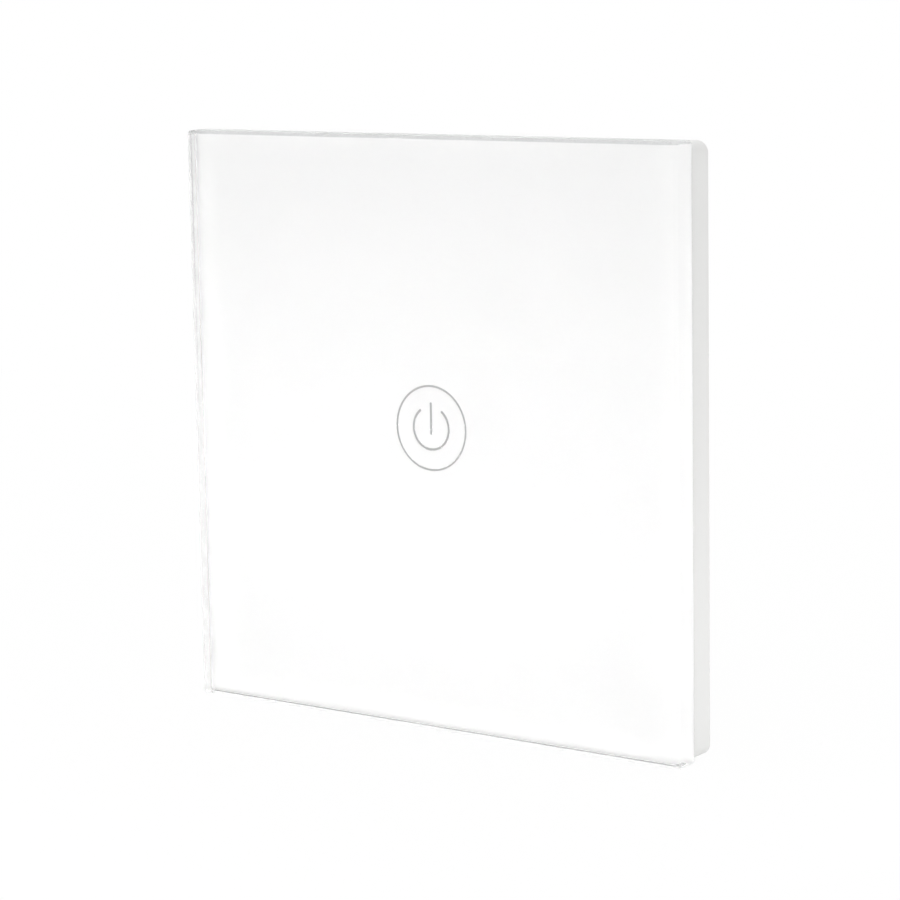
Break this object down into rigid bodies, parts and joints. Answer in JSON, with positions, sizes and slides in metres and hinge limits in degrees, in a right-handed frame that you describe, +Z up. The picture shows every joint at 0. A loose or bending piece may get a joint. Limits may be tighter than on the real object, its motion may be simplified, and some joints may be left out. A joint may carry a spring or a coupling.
{
  "type": "touch light switch",
  "caption": "Square glass touch light switch on a clip-on frame, with a mounting chassis, boards, relay and screw terminals in a rear housing for a wall box.",
  "frame": {"origin": "centre of the switch on the wall plane, where the chassis plate lies against the wall", "axes": "+X to the right and +Z up for someone facing the switch, +Y into the wall; the glass front faces -Y"},
  "size_m": [0.086, 0.0331, 0.086],
  "materials": {
    "glass": "polished clear glass, ground edges",
    "white_print": "white print",
    "icon_ink": "pale grey translucent print",
    "tape": "thin bonding tape",
    "frame_plastic": "satin white moulded plastic",
    "chassis_plastic": "fine matt white moulded plastic",
    "cover_plastic": "fine matt white moulded plastic",
    "housing_plastic": "matt white flame-retardant plastic",
    "spring_steel": "bright rolled strip",
    "rivet_aluminium": "drawn",
    "zinc_steel": "zinc plated",
    "board": "green solder mask",
    "spring_wire": "nickel plated wire",
    "light_guide": "milky clear",
    "led": "yellow phosphor in a white frame",
    "chip_black": "moulded epoxy",
    "tinned": "tinned",
    "chip_ceramic": "sintered ceramic",
    "header_black": "moulded",
    "gold_pin": "flash gold",
    "film_yellow": "yellow box",
    "can_sleeve": "shrink sleeve",
    "can_aluminium": "scored",
    "varistor_blue": "dipped epoxy",
    "resistor_body": "flameproof paint",
    "ferrite": "ferrite with wire",
    "relay_base": "moulded",
    "relay_shell": "moulded",
    "bobbin_plastic": "moulded",
    "copper_wire": "enamelled copper wire",
    "relay_iron": "nickel plated",
    "contact_copper": "copper alloy strip",
    "terminal_plastic": "moulded",
    "terminal_brass": "stamped"
  },
  "bodies": {
    "chassis": {"mounting_chassis": "chassis_plastic", "module_cover": "cover_plastic", "rear_housing": "housing_plastic", "housing_screws": "zinc_steel", "panel_clips": "spring_steel", "clip_rivets": "rivet_aluminium", "touch_board": "board", "touch_spring": "spring_wire", "light_guide": "light_guide", "indicator_leds": "led", "touch_chip": "chip_black", "chip_leads": "tinned", "chip_capacitors": "chip_ceramic", "header_strip": "header_black", "header_pins": "gold_pin", "power_board": "board", "film_capacitor": "film_yellow", "electrolytic_capacitors": "can_sleeve", "capacitor_tops": "can_aluminium", "varistor": "varistor_blue", "fuse_resistor": "resistor_body", "bridge_rectifier": "chip_black", "power_inductor": "ferrite", "power_chip": "chip_black", "component_leads": "tinned", "relay_base": "relay_base", "relay_cover": "relay_shell", "relay_bobbin": "bobbin_plastic", "relay_winding": "copper_wire", "relay_core": "relay_iron", "relay_yoke": "relay_iron", "relay_contact": "contact_copper", "relay_pins": "tinned", "terminal_block": "terminal_plastic", "terminal_bars": "terminal_brass"},
    "front_panel": {"glass_panel": "glass", "back_print": "white_print", "icon_print": "icon_ink", "panel_tape": "tape", "panel_frame": "frame_plastic"},
    "armature": {"relay_armature": "relay_iron", "relay_blade": "contact_copper"},
    "clamp_screw_1": {"terminal_screw_1": "zinc_steel"},
    "clamp_screw_2": {"terminal_screw_2": "zinc_steel"},
    "clamp_screw_3": {"terminal_screw_3": "zinc_steel"},
    "clamp_cage_1": {"terminal_cage_1": "terminal_brass"},
    "clamp_cage_2": {"terminal_cage_2": "terminal_brass"},
    "clamp_cage_3": {"terminal_cage_3": "terminal_brass"}
  },
  "joints": [
    {"name": "panel_pull", "type": "slide", "parent": "chassis", "child": "front_panel", "axis": [0, -1, 0], "range_m": [0, 0.03], "deforming": ["panel_clips"]},
    {"name": "armature_tip", "type": "hinge", "parent": "chassis", "child": "armature", "pos_m": [-0.01055, 0.01772, -0.0044], "axis": [0, 0, 1], "range_deg": [0, 3.5], "stiffness_Nm_per_rad": 0.002},
    {"name": "clamp_turn_1", "type": "hinge", "parent": "chassis", "child": "clamp_screw_1", "pos_m": [-0.008, 0.02034, -0.01775], "axis": [0, -1, 0], "range_deg": [0, 1735]},
    {"name": "clamp_turn_2", "type": "hinge", "parent": "chassis", "child": "clamp_screw_2", "pos_m": [0, 0.02034, -0.01775], "axis": [0, -1, 0], "range_deg": [0, 1735]},
    {"name": "clamp_turn_3", "type": "hinge", "parent": "chassis", "child": "clamp_screw_3", "pos_m": [0.008, 0.02034, -0.01775], "axis": [0, -1, 0], "range_deg": [0, 1735]},
    {"name": "cage_rise_1", "type": "slide", "parent": "chassis", "child": "clamp_cage_1", "axis": [0, 1, 0], "range_m": [0, 0.0024]},
    {"name": "cage_rise_2", "type": "slide", "parent": "chassis", "child": "clamp_cage_2", "axis": [0, 1, 0], "range_m": [0, 0.0024]},
    {"name": "cage_rise_3", "type": "slide", "parent": "chassis", "child": "clamp_cage_3", "axis": [0, 1, 0], "range_m": [0, 0.0024]}
  ],
  "couplings": [
    {"joint": "clamp_turn_1", "follows": "cage_rise_1", "rad_per_m": 12566},
    {"joint": "clamp_turn_2", "follows": "cage_rise_2", "rad_per_m": 12566},
    {"joint": "clamp_turn_3", "follows": "cage_rise_3", "rad_per_m": 12566}
  ]
}
